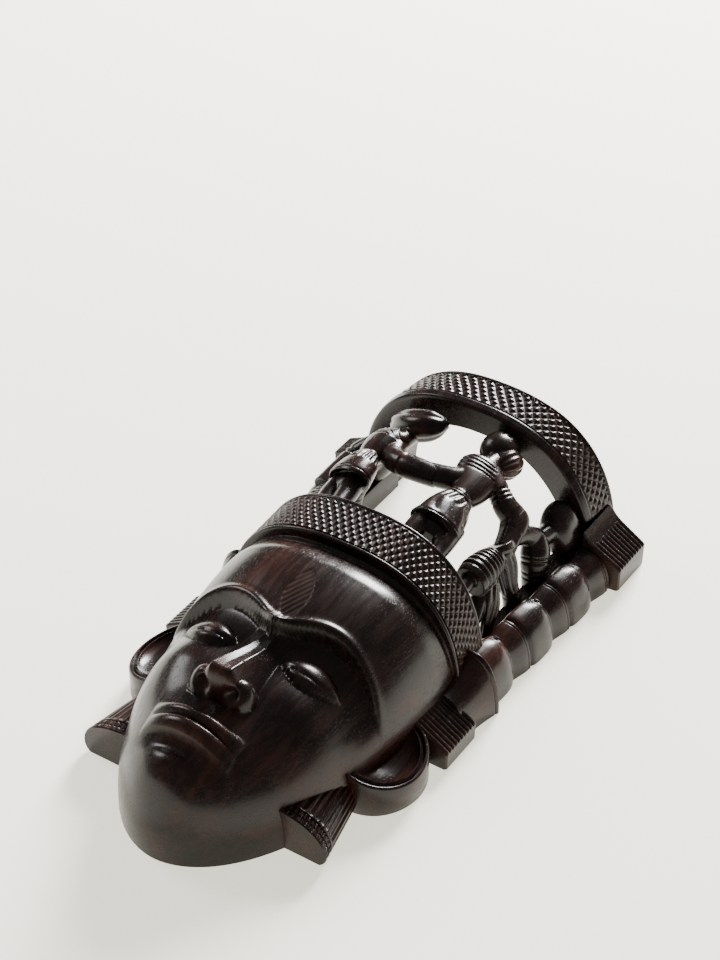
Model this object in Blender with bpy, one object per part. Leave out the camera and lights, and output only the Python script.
# Carved wall mask of dark hardwood, lying on its back.
# Metres, +Z up. The chin points to -Y, the crown to +Y, and the flat back lies on the floor, Z = 0.
# The mask is cut from one block of wood, so it is one solid: head, headband, crown, side rails
# carved as rope, ears, tassels, fluted blocks, and dancers cut free between the two bands.
import bpy
import bmesh
import math
import numpy as np

# Places along the mask
CHIN_Y = -0.160
HAIR_Y = 0.0010
HEAD_UNDER_BAND_Y = 0.0100
HEADBAND_NEAR_Y = 0.0010
HEADBAND_FAR_Y = 0.0272
CROWN_NEAR_Y = 0.1347
CROWN_FAR_Y = 0.1600

# Head: half widths and heights of the arch that it is carved on
HEAD_HALF_WIDTH = 0.0690
FOREHEAD_HEIGHT = 0.0790
JAW_HEIGHT = 0.0570
HAIRLINE_DROP = 0.0045
HEAD_ROUNDNESS = 2.6
JAW_ROUNDNESS = 2.25

# Headband and crown: arches that stand proud of the head
HEADBAND_NEAR_HALF_WIDTH = 0.0710
HEADBAND_NEAR_HEIGHT = 0.0796
HEADBAND_FAR_HALF_WIDTH = 0.0693
HEADBAND_FAR_HEIGHT = 0.0846
HEADBAND_ROUNDNESS = 2.61
HEADBAND_BOW = 0.0016
CROWN_NEAR_HALF_WIDTH = 0.0735
CROWN_NEAR_HEIGHT = 0.0802
CROWN_FAR_HALF_WIDTH = 0.0722
CROWN_FAR_HEIGHT = 0.0817
CROWN_ROUNDNESS = 2.46
CROWN_NEAR_LEAN = -0.0045
CROWN_RIM = 0.0030

# Hollow behind the head, open to the back, and the bore of the crown
HOLLOW_HALF_WIDTH = 0.0565
HOLLOW_HEIGHT = 0.0655
HOLLOW_ROUNDNESS = 2.8
HOLLOW_END_Y = -0.085
HOLLOW_TAPER_Y = 0.020
BORE_HALF_WIDTH = 0.0560
BORE_HEIGHT = 0.0662
BORE_ROUNDNESS = 2.2

# Side rails: a rope of swelling segments on a plain ledge
RAIL_OUTER_AT_MIDDLE = 0.0804
RAIL_SPLAY = 0.05
RAIL_FAR_Y = 0.1400
ROPE_WIDTH = 0.0155
ROPE_NEAR_HEIGHT = 0.0268
ROPE_FAR_HEIGHT = 0.0226
ROPE_ROUNDNESS = 2.3
ROPE_FIRST_LIP_Y = 0.0147
ROPE_SEGMENTS = 3
ROPE_SEGMENT_LENGTH = 0.0372
ROPE_BARREL = 0.64
ROPE_SWELL = 0.0008
ROPE_VALLEY = 0.0021
LEDGE_HEIGHT = 0.0150
LEDGE_RISE = 0.0020
SADDLE_NEAR_HEIGHT = 0.0235
SADDLE_LIP_HEIGHT = 0.0341
SADDLE_STAND_OUT = 0.0018
SADDLE_FLARE = 0.0035

# Fluted blocks on each side
LOW_BLOCK_NEAR_Y = -0.0350
LOW_BLOCK_FAR_Y = -0.0074
LOW_BLOCK_OUTER_X = 0.0860
LOW_BLOCK_OUTER_HEIGHT = 0.0115
LOW_BLOCK_SLOPE = 0.60
HIGH_BLOCK_NEAR_Y = 0.1285
HIGH_BLOCK_FAR_Y = 0.1565
HIGH_BLOCK_OUTER_X = 0.0922
HIGH_BLOCK_OUTER_HEIGHT = 0.0150
HIGH_BLOCK_SLOPE = 0.62
HIGH_BLOCK_SKEW = 0.0023
LOW_BLOCK_INNER_X = 0.0600
LOW_FLUTES_INNER_X = 0.0640
LOW_BLOCK_INNER_RISE = 0.0024
HIGH_BLOCK_INNER_X = 0.0700
HIGH_FLUTES_INNER_X = 0.0760
HIGH_BLOCK_INNER_RISE = 0.0070
BLOCK_FLUTES = 10
FLUTE_DEPTH = 0.0010

# Ears and the tassels below them
EAR_X = 0.0607
EAR_Y = -0.0574
EAR_HALF_WIDTH = 0.0236
EAR_HALF_LENGTH = 0.0267
EAR_OUTER_HEIGHT = 0.0150
EAR_SLOPE = 0.37
EAR_SCOOP = 0.0075
TASSEL_NEAR_Y = -0.1205
TASSEL_FAR_Y = -0.0780
TASSEL_OUTER_X = 0.0730
TASSEL_NARROW_X = 0.0640
TASSEL_INNER_X = 0.0340
TASSEL_HEIGHT = 0.0245
TASSEL_FLUTES = 6

# Dancers between the bands stand on a vault a little inside the bands
VAULT_HALF_WIDTH = 0.0715
VAULT_HEIGHT = 0.0825
VAULT_ROUNDNESS = 2.5
FIGURE_DEPTH = 0.0125

BELOW_FLOOR = 0.006
ARCH_STEPS = 26
WOOD_COLOUR = (0.022, 0.012, 0.010, 1.0)
WOOD_ROUGHNESS = 0.28


def smooth_step(value, start, end):
    """0 before start, 1 after end, with an S curve between."""
    share = np.clip((value - start) / (end - start), 0.0, 1.0)
    return share * share * (3.0 - 2.0 * share)


def bell(x, y, centre_x, centre_y, reach_x, reach_y):
    """A soft hill: e to the minus squared distance, measured in reaches."""
    return np.exp(-((x - centre_x) / reach_x) ** 2 - ((y - centre_y) / reach_y) ** 2)


def dome(x, y, centre_x, centre_y, reach_x, reach_y):
    """Half an ellipsoid of height 1 on a flat ground."""
    inside = 1.0 - ((x - centre_x) / reach_x) ** 2 - ((y - centre_y) / reach_y) ** 2
    return np.sqrt(np.clip(inside, 0.0, 1.0))


def arch(half_width, height, roundness, steps=ARCH_STEPS, crowding=0.0):
    """A superellipse from the right foot over the top to the left foot, as x and z. The points are
    evenly spaced, or with some crowding closer together near the top."""
    angle = np.linspace(0.0, math.pi, 20 * steps + 1)
    x = half_width * np.sign(np.cos(angle)) * np.abs(np.cos(angle)) ** (2.0 / roundness)
    z = height * np.abs(np.sin(angle)) ** (2.0 / roundness)
    run = np.concatenate([[0.0], np.cumsum(np.hypot(np.diff(x), np.diff(z)))])
    share = np.linspace(0.0, 1.0, steps + 1)
    place = run[-1] * (share + crowding * np.sin(2.0 * math.pi * share) / (2.0 * math.pi))
    return np.interp(place, run, x), np.interp(place, run, z)


def with_feet(x, y, z):
    """A ring across the mask: the arch, and below each of its ends a foot under the floor."""
    x = np.concatenate([[x[0]], x, [x[-1]]])
    z = np.concatenate([[-BELOW_FLOOR], z, [-BELOW_FLOOR]])
    y = np.concatenate([[y[0]], y, [y[-1]]])
    return np.stack([x, y, z], axis=1)


def skin(name, rings):
    """A closed body through a row of rings with the same number of points, with flat ends."""
    rings = np.asarray(rings, dtype=float)
    rows, columns = rings.shape[:2]
    mesh = bmesh.new()
    points = [[mesh.verts.new(point) for point in ring] for ring in rings]
    for row in range(rows - 1):
        for column in range(columns):
            after = (column + 1) % columns
            mesh.faces.new((points[row][column], points[row][after],
                            points[row + 1][after], points[row + 1][column]))
    mesh.faces.new(points[0][::-1])
    mesh.faces.new(points[-1])
    mesh.normal_update()
    bmesh.ops.triangulate(mesh, faces=mesh.faces[:])
    if mesh.calc_volume(signed=True) < 0.0:
        bmesh.ops.reverse_faces(mesh, faces=mesh.faces[:])
    data = bpy.data.meshes.new(name)
    mesh.to_mesh(data)
    mesh.free()
    body = bpy.data.objects.new(name, data)
    bpy.context.scene.collection.objects.link(body)
    return body


def both_sides(name, rings):
    """The same body on the right and, mirrored, on the left."""
    rings = np.asarray(rings, dtype=float)
    return [skin(name + "_right", rings), skin(name + "_left", rings * np.array([-1.0, 1.0, 1.0]))]


def face_relief(x, y):
    """Height added to the plain head: sunk eye sockets under an arched brow, closed eyes, nose, lips
    and chin, placed by thirds between hairline, brow, nose and chin."""
    length = HAIR_Y - CHIN_Y
    down = (HAIR_Y - y) / length
    across = x / HEAD_HALF_WIDTH
    side = np.abs(across)
    brow = 0.370 - 0.070 * np.sin(math.pi * np.clip(side / 0.95, 0.0, 1.0))
    under_brow = down - brow
    socket = smooth_step(under_brow, 0.0, 0.022) * (1.0 - smooth_step(under_brow, 0.03, 0.27))
    socket = socket * (1.0 - smooth_step(side, 0.72, 0.98))
    relief = -0.0085 * socket
    relief += 0.0016 * np.exp(-((under_brow + 0.012) / 0.016) ** 2) * (1.0 - smooth_step(side, 0.7, 0.95))
    relief += 0.0045 * bell(side, down, 0.55, 0.575, 0.27, 0.13)
    lid = 1.0 - ((side - 0.43) / 0.235) ** 2
    lens = np.clip(1.0 - ((down - 0.435) / (0.052 * np.clip(lid, 0.02, 1.0))) ** 2, 0.0, 1.0)
    relief += 0.0052 * np.where(lid > 0.02, np.sqrt(lens) * np.sqrt(np.clip(lid, 0.0, 1.0)), 0.0)
    nose_run = np.clip((down - 0.345) / (0.635 - 0.345), 0.0, 1.0)
    nose_top = 0.045 + 0.035 * nose_run
    nose_side = 0.090 + 0.075 * nose_run
    nose_height = 0.0030 + 0.0150 * nose_run ** 1.2
    nose_end = np.sqrt(np.clip(1.0 - (np.clip(down - 0.622, 0.0, 1.0) / 0.046) ** 2, 0.0, 1.0))
    nose_start = smooth_step(down, 0.315, 0.37)
    nose = nose_height * np.clip(1.0 - (side - nose_top) / nose_side, 0.0, 1.0) * nose_end * nose_start
    wings = 0.0115 * dome(side, down, 0.150, 0.625, 0.115, 0.048)
    relief += np.maximum(nose, wings)
    relief += 0.0055 * bell(across, down, 0.0, 0.775, 0.40, 0.115)
    mouth_line = 0.778 + 0.012 * side ** 1.5
    reach = np.clip(1.0 - (side / 0.37) ** 2, 0.0, 1.0)
    upper = np.clip(1.0 - ((down - mouth_line + 0.020) / 0.024) ** 2, 0.0, 1.0)
    lower = np.clip(1.0 - ((down - mouth_line - 0.025) / 0.029) ** 2, 0.0, 1.0)
    relief += 0.0048 * np.sqrt(np.maximum(upper, lower) * reach)
    relief += 0.0050 * bell(across, down, 0.0, 0.925, 0.25, 0.060)
    relief -= 0.0025 * bell(across, down, 0.0, 0.857, 0.28, 0.022)
    return relief


def head_rings():
    """The head: arches from under the headband to the chin, closing to a rounded end, with a groove
    along the hairline, plus the relief."""
    length = HAIR_Y - CHIN_Y
    under = (HAIR_Y - HEAD_UNDER_BAND_Y) / length
    share = np.concatenate([[under, 0.0], np.linspace(0.018, 0.28, 6), np.linspace(0.305, 0.875, 19),
                            [0.905, 0.935, 0.960, 0.978, 0.991, 1.0]])
    rings = []
    for down in share:
        closing = min(max(down, 0.0), 0.9985)
        half_width = HEAD_HALF_WIDTH * (1.0 - closing ** 2.5) ** 0.52
        height = JAW_HEIGHT + (FOREHEAD_HEIGHT - JAW_HEIGHT) * (1.0 - smooth_step(down, 0.12, 0.75))
        height = height - HAIRLINE_DROP * (1.0 - smooth_step(down, 0.0, 0.10))
        height = height * (1.0 - closing ** 8) ** (1.0 / 2.6)
        roundness = HEAD_ROUNDNESS + (JAW_ROUNDNESS - HEAD_ROUNDNESS) * closing
        x, z = arch(half_width, height, roundness, crowding=0.5)
        y = np.full(x.shape, HAIR_Y - down * length)
        steep = smooth_step(z / height, 0.05, 0.55)
        closed = 1.0 - smooth_step(down, 0.94, 1.0)
        rings.append(with_feet(x, y, z + face_relief(x, y) * steep * closed))
    return rings


def band_rings(stations, roundness, bow):
    """A solid arch across the mask through stations of y, half width, height and sideways lean."""
    rings = []
    for along, half_width, height, lean in stations:
        x, z = arch(half_width, height, roundness)
        upward = np.clip(z / height, 0.0, 1.0)
        rings.append(with_feet(x + lean * upward ** 0.7, along + bow * upward, z))
    return rings


def headband_rings():
    """The headband: a plain bead at each edge and a broad band between them."""
    span = HEADBAND_FAR_Y - HEADBAND_NEAR_Y
    stations = []
    for share, sunk in ((0.0, 0.0020), (0.04, 0.0), (0.96, 0.0), (1.0, 0.0008)):
        half_width = HEADBAND_NEAR_HALF_WIDTH + share * (HEADBAND_FAR_HALF_WIDTH - HEADBAND_NEAR_HALF_WIDTH)
        height = HEADBAND_NEAR_HEIGHT + share * (HEADBAND_FAR_HEIGHT - HEADBAND_NEAR_HEIGHT)
        stations.append((HEADBAND_NEAR_Y + share * span, half_width - sunk, height - sunk, 0.0))
    return band_rings(stations, HEADBAND_ROUNDNESS, HEADBAND_BOW)


def crown_rings():
    """The crown: a broad band with a bevelled rim towards the face, where its top leans to the left."""
    span = CROWN_FAR_Y - CROWN_NEAR_Y
    stations = []
    for share, sunk in ((0.0, CROWN_RIM), (CROWN_RIM / span, 0.0), (0.97, 0.0), (1.0, 0.0008)):
        half_width = CROWN_NEAR_HALF_WIDTH + share * (CROWN_FAR_HALF_WIDTH - CROWN_NEAR_HALF_WIDTH)
        height = CROWN_NEAR_HEIGHT + share * (CROWN_FAR_HEIGHT - CROWN_NEAR_HEIGHT)
        lean = CROWN_NEAR_LEAN * (1.0 - share)
        stations.append((CROWN_NEAR_Y + share * span, half_width - sunk, height - sunk, lean))
    return band_rings(stations, CROWN_ROUNDNESS, 0.0)


def hollow_rings():
    """The hollow: an arch from behind the face, where it closes as a dome, to the rounder bore of the
    crown."""
    rings = []
    for share in np.concatenate([[0.0], np.sin(np.linspace(0.12, 0.96, 5) * math.pi / 2.0)])[::-1]:
        closing = math.sqrt(1.0 - share ** 2)
        x, z = arch(HOLLOW_HALF_WIDTH * closing, HOLLOW_HEIGHT * closing, HOLLOW_ROUNDNESS, 16)
        along = HOLLOW_TAPER_Y + (HOLLOW_END_Y - HOLLOW_TAPER_Y) * share
        rings.append(with_feet(x, np.full(x.shape, along), z) - np.array([0.0, 0.0, 0.002]))
    for along, half_width, height, roundness in (
            (CROWN_NEAR_Y - 0.010, HOLLOW_HALF_WIDTH, HOLLOW_HEIGHT, HOLLOW_ROUNDNESS),
            (CROWN_NEAR_Y - 0.001, BORE_HALF_WIDTH, BORE_HEIGHT, BORE_ROUNDNESS),
            (CROWN_FAR_Y + 0.020, BORE_HALF_WIDTH, BORE_HEIGHT, BORE_ROUNDNESS)):
        x, z = arch(half_width, height, roundness, 16)
        rings.append(with_feet(x, np.full(x.shape, along), z) - np.array([0.0, 0.0, 0.002]))
    return rings


def rail_outer_x(along):
    """The rail's outer face at the floor, which splays towards the crown."""
    return RAIL_OUTER_AT_MIDDLE + RAIL_SPLAY * along


def rope_swell(along):
    """Swelling of the rope: each segment bulges as a barrel that ends in a steep fall to a valley, and
    then flares to the next crisp lip."""
    phase = ((along - ROPE_FIRST_LIP_Y) / ROPE_SEGMENT_LENGTH) % 1.0
    if phase < ROPE_BARREL:
        return ROPE_SWELL - (ROPE_SWELL + ROPE_VALLEY) * abs((phase / ROPE_BARREL - 0.42) / 0.58) ** 3.0
    flare = math.sin(math.pi / 2.0 * (phase - ROPE_BARREL) / (1.0 - ROPE_BARREL))
    return -ROPE_VALLEY * (1.0 - flare ** 1.3)


def rope_stations():
    """Places along the rope: just before and after each lip, and along the barrel to the valley."""
    places = []
    for segment in range(-1, ROPE_SEGMENTS + 1):
        lip = ROPE_FIRST_LIP_Y + segment * ROPE_SEGMENT_LENGTH
        for share in (0.01, 0.28, 0.52, 0.64, 0.985):
            places.append(lip + share * ROPE_SEGMENT_LENGTH)
    return [place for place in places if HEADBAND_NEAR_Y + 0.004 < place < RAIL_FAR_Y]


def rail_rings():
    """The right rail: the rope from its outer foot to its top, its steep inner side, the ledge and the
    inner wall."""
    rings = []
    for along in rope_stations():
        swell = rope_swell(along)
        outer = rail_outer_x(along)
        top_x = outer - ROPE_WIDTH
        share = (along - ROPE_FIRST_LIP_Y) / (ROPE_SEGMENTS * ROPE_SEGMENT_LENGTH)
        height = ROPE_NEAR_HEIGHT + share * (ROPE_FAR_HEIGHT - ROPE_NEAR_HEIGHT) + swell
        x, z = arch(ROPE_WIDTH + swell, height, ROPE_ROUNDNESS, 12)
        ring = [(outer + swell, along, -BELOW_FLOOR)]
        ring += [(px + top_x, along, pz) for px, pz in zip(x[:7], z[:7])]
        ring += [(top_x - 0.0024, along, 0.94 * height)]
        ring += [(top_x - 0.0036, along, LEDGE_HEIGHT + LEDGE_RISE)]
        ring += [(HOLLOW_HALF_WIDTH - 0.002, along, LEDGE_HEIGHT)]
        ring += [(HOLLOW_HALF_WIDTH - 0.002, along, -BELOW_FLOOR)]
        rings.append(ring)
    return rings


def saddle_rings():
    """The smooth hollow piece between the low block and the rope, rising to the rope's first lip."""
    rings = []
    start = LOW_BLOCK_FAR_Y - 0.004
    for share in np.linspace(0.0, 1.0, 5):
        along = start + share * (ROPE_FIRST_LIP_Y - start)
        rise = share ** 2.2
        outer = rail_outer_x(along) + SADDLE_STAND_OUT + SADDLE_FLARE * rise
        height = SADDLE_NEAR_HEIGHT + (SADDLE_LIP_HEIGHT - SADDLE_NEAR_HEIGHT) * rise
        half_width = 0.0145 + 0.0015 * rise
        x, z = arch(half_width, height, 2.2, 8)
        rings.append(with_feet(x + outer - half_width, np.full(x.shape, along), z))
    return rings


def block_rings(near, far, outer, outer_height, slope, skew, inner, flutes_inner, inner_rise):
    """A block whose top falls outwards and is fluted across: one ring for each flute's ridge and valley.
    Behind the flutes' inner ends the top rises more steeply to the mask."""
    rings = []
    steps = 2 * BLOCK_FLUTES
    flutes_height = outer_height + slope * (outer - flutes_inner)
    for step in range(steps + 1):
        share = step / steps
        groove = FLUTE_DEPTH if step % 2 else 0.0
        ring = []
        for x, z in ((inner, -BELOW_FLOOR), (outer, -BELOW_FLOOR), (outer, outer_height - groove),
                     (flutes_inner, flutes_height - groove), (inner, flutes_height + inner_rise)):
            reach = (x - inner) / (outer - inner)
            ring.append((x, near + skew * (reach - 1.0) * (1.0 - share) + share * (far - near), z))
        rings.append(ring)
    return rings


def ear_rings():
    """The right ear: a round disc that rises inwards, with a rim, a groove and a scooped hollow."""
    angle = np.linspace(0.0, 2.0 * math.pi, 16, endpoint=False)
    rings = []
    for reach, sunk in ((1.0, None), (1.0, 0.0004), (0.96, 0.0), (0.89, 0.0), (0.84, 0.0028), (0.78, 0.0012),
                        (0.56, EAR_SCOOP * 0.75), (0.20, EAR_SCOOP)):
        x = EAR_X + EAR_HALF_WIDTH * reach * np.cos(angle)
        y = EAR_Y + EAR_HALF_LENGTH * reach * np.sin(angle)
        plane = EAR_OUTER_HEIGHT + EAR_SLOPE * (EAR_X + EAR_HALF_WIDTH - x)
        z = np.full(x.shape, -BELOW_FLOOR) if sunk is None else plane - sunk
        rings.append(np.stack([x, y, z], axis=1))
    return rings


def tassel_rings():
    """The right tassel below the ear: a fan of strands with a rounded top, cut flat at its near end."""
    rings = []
    for share in (0.0, 0.22, 0.26, 0.30, 1.0):
        along = TASSEL_NEAR_Y + share * (TASSEL_FAR_Y - TASSEL_NEAR_Y)
        outer = TASSEL_OUTER_X + (TASSEL_NARROW_X - TASSEL_OUTER_X) * share
        pinch = 0.0012 if share == 0.26 else 0.0
        angle = np.linspace(0.0, math.pi / 2.0, 2 * TASSEL_FLUTES + 1)
        groove = np.where(np.arange(angle.size) % 2 == 1, 0.0009, 0.0) + pinch
        width = outer - TASSEL_INNER_X - groove
        x = TASSEL_INNER_X + width * np.cos(angle) ** 0.7
        z = (TASSEL_HEIGHT - groove) * np.sin(angle) ** 0.7
        ring = [(outer - 0.0045, along, -BELOW_FLOOR), (outer - 0.0040, along, 0.0)]
        ring += [(px, along, pz) for px, pz in zip(x[2:], z[2:])]
        ring += [(TASSEL_INNER_X, along, -BELOW_FLOOR)]
        rings.append(ring)
    return rings


def vault(angle, along, depth=FIGURE_DEPTH):
    """A point on the dancers' vault: the angle in degrees from the right foot over the top, the place
    along the mask in metres, and the depth below the vault's outer face."""
    turn = math.radians(angle)
    cosine, sine = math.cos(turn), math.sin(turn)
    across = abs(cosine / (VAULT_HALF_WIDTH - depth)) ** VAULT_ROUNDNESS
    upward = abs(sine / (VAULT_HEIGHT - depth)) ** VAULT_ROUNDNESS
    radius = (across + upward) ** (-1.0 / VAULT_ROUNDNESS)
    return np.array([radius * cosine, along, radius * sine])


def outward(point):
    """The direction that points out of the vault at a point of it."""
    direction = np.array([point[0], 0.0, point[2]])
    return direction / np.linalg.norm(direction)


def limb(name, places, widths, thicknesses, sides=8):
    """A limb through places on the vault: rings whose width lies along the vault and whose thickness
    stands out of it. Where a limb turns back on itself, as a hem does, its rings keep their order."""
    centres = [vault(*place) for place in places]
    rings = []
    last_beside = np.zeros(3)
    for index, centre in enumerate(centres):
        before = centres[max(index - 1, 0)]
        after = centres[min(index + 1, len(centres) - 1)]
        forward = (after - before) / np.linalg.norm(after - before)
        rise = outward(centre)
        rise = rise - forward * float(rise @ forward)
        rise = rise / np.linalg.norm(rise)
        beside = np.cross(forward, rise)
        if float(beside @ last_beside) < 0.0:
            beside = -beside
        last_beside = beside
        ring = []
        for step in range(sides):
            turn = 2.0 * math.pi * (step + 0.5) / sides
            ring.append(centre + beside * widths[index] / 2.0 * math.cos(turn)
                        + rise * thicknesses[index] / 2.0 * math.sin(turn))
        rings.append(ring)
    return skin(name, rings)


def egg(name, start, end, width, thickness, sides=8):
    """A rounded head or knot of hair from a start to an end place: a limb whose rings open and close
    as a half circle does."""
    steps = 5
    places, widths, thicknesses = [], [], []
    for step in range(steps + 1):
        share = 0.5 - 0.5 * math.cos(math.pi * (step + 0.35) / (steps + 0.7))
        size = math.sin(math.pi * (step + 0.35) / (steps + 0.7))
        places.append(tuple(a + (b - a) * share for a, b in zip(start, end)))
        widths.append(width * size)
        thicknesses.append(thickness * size)
    return limb(name, places, widths, thicknesses, sides)


def centre_dancer():
    """The dancer on the top of the vault, who leans, with the hair tied in a knot at one side."""
    return [
        egg("centre_head", (73.5, 0.1165, 0.0155), (75.5, 0.1370, 0.0155), 0.0200, 0.0200),
        egg("centre_knot", (68.0, 0.1115, 0.0140), (65.0, 0.1300, 0.0140), 0.0145, 0.0145, 6),
        limb("centre_torso", [(71.9, 0.1180, 0.0140), (72.3, 0.1090, 0.0130), (72.7, 0.1040), (72.4, 0.0950),
                              (71.2, 0.0865), (71.2, 0.0785)],
             [0.0105, 0.0115, 0.0230, 0.0220, 0.0182, 0.0140], [0.0100, 0.0105, 0.0120, 0.0132, 0.0127, 0.0112],
             8),
        limb("centre_skirt", [(71.2, 0.0800), (71.6, 0.0755), (71.6, 0.0677), (71.3, 0.0585), (71.0, 0.0512),
                              (71.0, 0.0525)],
             [0.0141, 0.0170, 0.0225, 0.0265, 0.0280, 0.0200], [0.0113, 0.0135, 0.0167, 0.0180, 0.0176, 0.0100],
             10),
        limb("centre_left_leg", [(75.9, 0.0590), (75.5, 0.0450), (75.1, 0.0350), (74.8, 0.0220)],
             [0.0105, 0.0092, 0.0086, 0.0100], [0.0105, 0.0092, 0.0086, 0.0100], 5),
        limb("centre_right_leg", [(63.5, 0.0590), (63.0, 0.0460), (62.3, 0.0380), (62.0, 0.0220)],
             [0.0105, 0.0093, 0.0085, 0.0095], [0.0105, 0.0093, 0.0085, 0.0095], 5),
        limb("centre_left_arm", [(74.0, 0.0985), (76.0, 0.0945), (79.0, 0.0885), (84.0, 0.0855), (90.0, 0.0840)],
             [0.0110, 0.0120, 0.0128, 0.0128, 0.0125], [0.0110, 0.0118, 0.0125, 0.0125, 0.0120], 6),
        limb("centre_right_arm", [(70.0, 0.1060), (67.5, 0.1020), (61.6, 0.0980), (55.7, 0.0950), (50.5, 0.0950),
                                  (46.5, 0.0925), (44.9, 0.0846), (42.6, 0.0770)],
             [0.0105, 0.0116, 0.0118, 0.0124, 0.0140, 0.0135, 0.0115, 0.0108],
             [0.0105, 0.0116, 0.0118, 0.0124, 0.0132, 0.0130, 0.0112, 0.0108], 6),
    ]


def left_dancer():
    """The dancer left of the top, arm in arm with the centre one, with a broad swept hair dress."""
    return [
        limb("left_hair", [(131.0, 0.1280, 0.0080), (128.5, 0.1260, 0.0090), (121.0, 0.1215, 0.0105),
                           (113.0, 0.1190, 0.0110), (106.0, 0.1208, 0.0110), (101.0, 0.1250, 0.0110)],
             [0.0040, 0.0110, 0.0180, 0.0198, 0.0172, 0.0050], [0.0040, 0.0100, 0.0160, 0.0178, 0.0156, 0.0050],
             8),
        limb("left_torso", [(114.0, 0.1150, 0.0125), (115.0, 0.1058, 0.0120), (116.6, 0.1033, 0.0110),
                            (119.3, 0.0982, 0.0095), (119.3, 0.0893, 0.0085), (119.0, 0.0800, 0.0085)],
             [0.0100, 0.0120, 0.0175, 0.0220, 0.0185, 0.0125], [0.0095, 0.0105, 0.0130, 0.0154, 0.0138, 0.0105],
             8),
        limb("left_skirt", [(118.8, 0.0815, 0.0085), (118.0, 0.0760, 0.0075), (117.8, 0.0700, 0.0080),
                            (118.0, 0.0610, 0.0090), (118.0, 0.0622, 0.0090)],
             [0.0125, 0.0180, 0.0235, 0.0265, 0.0180], [0.0105, 0.0140, 0.0168, 0.0184, 0.0110], 10),
        limb("left_left_leg", [(123.5, 0.0640, 0.0100), (123.0, 0.0500, 0.0105), (122.0, 0.0380, 0.0115),
                               (121.5, 0.0220)],
             [0.0110, 0.0106, 0.0100, 0.0100], [0.0110, 0.0106, 0.0098, 0.0100], 5),
        limb("left_right_leg", [(116.5, 0.0640, 0.0110), (115.0, 0.0500), (113.5, 0.0380), (112.5, 0.0220)],
             [0.0110, 0.0106, 0.0100, 0.0100], [0.0110, 0.0106, 0.0098, 0.0100], 5),
        limb("left_right_arm", [(114.0, 0.0970), (111.0, 0.0885), (103.0, 0.0841), (94.5, 0.0832), (86.0, 0.0835)],
             [0.0125, 0.0130, 0.0134, 0.0132, 0.0122], [0.0125, 0.0130, 0.0134, 0.0130, 0.0120], 7),
        limb("left_left_arm", [(121.0, 0.1040, 0.0110), (129.0, 0.1010, 0.0085), (135.5, 0.0950, 0.0070),
                               (138.0, 0.0810, 0.0065), (140.0, 0.0680, 0.0070)],
             [0.0110, 0.0118, 0.0125, 0.0120, 0.0140], [0.0110, 0.0118, 0.0125, 0.0120, 0.0130], 6),
    ]


def side_dancer(mirrored):
    """A dancer low on one flank, with a long head, an arm bent over a drum, and a fall of cloth below."""
    def at(angle, along, depth=FIGURE_DEPTH):
        return (180.0 - angle if mirrored else angle, along, depth)
    side = "far_left" if mirrored else "far_right"
    return [
        egg(side + "_head", at(41.5, 0.1265, 0.012), at(14.5, 0.1235, 0.012), 0.0215, 0.0190, 8),
        limb(side + "_body", [at(38.5, 0.1023), at(36.0, 0.1026), at(29.1, 0.1003), at(23.5, 0.0973),
                              at(13.6, 0.0959), at(8.0, 0.0960)],
             [0.0060, 0.0118, 0.0160, 0.0150, 0.0140, 0.0137], [0.0060, 0.0118, 0.0160, 0.0148, 0.0138, 0.0137],
             8),
        limb(side + "_neck", [at(33.0, 0.1040), at(31.0, 0.1180)], [0.0110, 0.0110], [0.0110, 0.0110], 5),
        limb(side + "_drum", [at(46.5, 0.0752), at(44.0, 0.0745), at(42.0, 0.0738), at(36.4, 0.0736),
                              at(28.0, 0.0720), at(20.0, 0.0730), at(12.0, 0.0740)],
             [0.0170, 0.0198, 0.0160, 0.0140, 0.0110, 0.0100, 0.0110],
             [0.0140, 0.0155, 0.0135, 0.0125, 0.0105, 0.0100, 0.0105], 7),
        limb(side + "_skirt", [at(43.0, 0.0705), at(43.2, 0.0650), at(43.5, 0.0590), at(43.9, 0.0510),
                               at(43.7, 0.0450)],
             [0.0123, 0.0165, 0.0188, 0.0200, 0.0180], [0.0115, 0.0150, 0.0165, 0.0178, 0.0155], 8),
        limb(side + "_leg", [at(45.0, 0.0530), at(44.6, 0.0400), at(43.3, 0.0220)], [0.0095, 0.0085, 0.0085],
             [0.0095, 0.0085, 0.0085], 5),
        limb(side + "_cloth", [at(40.0, 0.0570, 0.0110), at(34.0, 0.0535, 0.0105), at(27.0, 0.0510, 0.0105),
                               at(20.0, 0.0460, 0.0110), at(13.0, 0.0440, 0.0120)],
             [0.0090, 0.0108, 0.0092, 0.0066, 0.0070], [0.0080, 0.0074, 0.0064, 0.0060, 0.0070], 6),
        limb(side + "_low_leg", [at(40.0, 0.0560, 0.0140), at(34.0, 0.0480, 0.0140), at(27.0, 0.0382, 0.0140),
                                 at(22.0, 0.0220, 0.0140)],
             [0.0100, 0.0088, 0.0080, 0.0085], [0.0100, 0.0088, 0.0080, 0.0085], 5),
        limb(side + "_arm", [at(36.0, 0.1025), at(41.0, 0.0950), at(43.5, 0.0860), at(44.0, 0.0790)],
             [0.0110, 0.0105, 0.0100, 0.0100], [0.0110, 0.0105, 0.0100, 0.0100], 5),
    ]


def floor_cutter():
    """A block under the floor that cuts the flat back."""
    corners = ((-0.15, -BELOW_FLOOR * 4), (0.15, -BELOW_FLOOR * 4), (0.15, 0.0), (-0.15, 0.0))
    return skin("floor_cutter", [[(x, along, z) for x, z in corners] for along in (-0.22, 0.22)])


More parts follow.
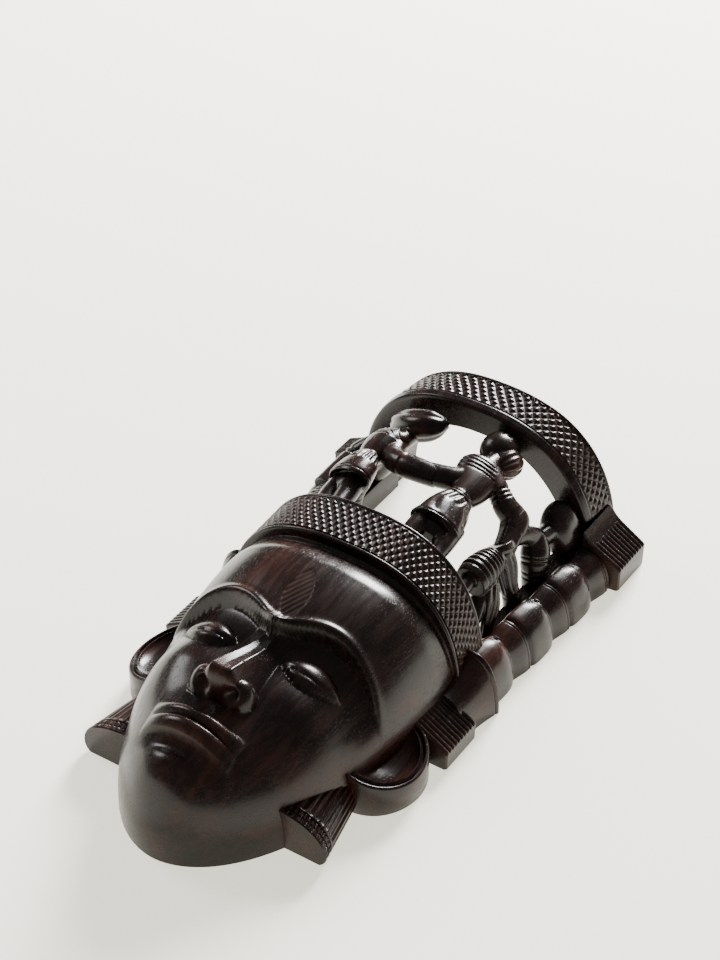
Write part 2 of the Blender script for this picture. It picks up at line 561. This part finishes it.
def combine(target, parts, operation):
    """Join the parts to the target, or cut them from it, and remove them."""
    group = bpy.data.collections.new("parts of " + target.name)
    bpy.context.scene.collection.children.link(group)
    for body in parts:
        group.objects.link(body)
    change = target.modifiers.new(operation.lower(), "BOOLEAN")
    change.operation = operation
    change.operand_type = "COLLECTION"
    change.collection = group
    change.solver = "EXACT"
    bpy.context.view_layer.update()
    graph = bpy.context.evaluated_depsgraph_get()
    result = bpy.data.meshes.new_from_object(target.evaluated_get(graph))
    target.modifiers.clear()
    target.data = result
    for body in parts:
        bpy.data.objects.remove(body)
    bpy.data.collections.remove(group)


def wood():
    """Dark polished hardwood."""
    material = bpy.data.materials.new("dark hardwood")
    material.use_nodes = True
    surface = material.node_tree.nodes["Principled BSDF"]
    surface.inputs["Base Color"].default_value = WOOD_COLOUR
    surface.inputs["Roughness"].default_value = WOOD_ROUGHNESS
    surface.inputs["Metallic"].default_value = 0.0
    return material


for old in list(bpy.data.objects):
    bpy.data.objects.remove(old)

mask = skin("mask", head_rings())
solids = [skin("headband", headband_rings()), skin("crown", crown_rings())]
solids += both_sides("rail", rail_rings())
solids += both_sides("saddle", saddle_rings())
solids += both_sides("low_block", block_rings(LOW_BLOCK_NEAR_Y, LOW_BLOCK_FAR_Y, LOW_BLOCK_OUTER_X,
                                              LOW_BLOCK_OUTER_HEIGHT, LOW_BLOCK_SLOPE, 0.0, LOW_BLOCK_INNER_X,
                                              LOW_FLUTES_INNER_X, LOW_BLOCK_INNER_RISE))
solids += both_sides("high_block", block_rings(HIGH_BLOCK_NEAR_Y, HIGH_BLOCK_FAR_Y, HIGH_BLOCK_OUTER_X,
                                               HIGH_BLOCK_OUTER_HEIGHT, HIGH_BLOCK_SLOPE, HIGH_BLOCK_SKEW,
                                               HIGH_BLOCK_INNER_X, HIGH_FLUTES_INNER_X, HIGH_BLOCK_INNER_RISE))
solids += both_sides("ear", ear_rings())
solids += both_sides("tassel", tassel_rings())
combine(mask, solids, "UNION")
combine(mask, [skin("hollow", hollow_rings())], "DIFFERENCE")
dancers = centre_dancer() + left_dancer() + side_dancer(False) + side_dancer(True)
combine(mask, dancers, "UNION")
combine(mask, [floor_cutter()], "DIFFERENCE")
mask.data.materials.clear()
mask.data.materials.append(wood())
mask.data.shade_smooth()
mask.data.set_sharp_from_angle(angle=math.radians(35.0))
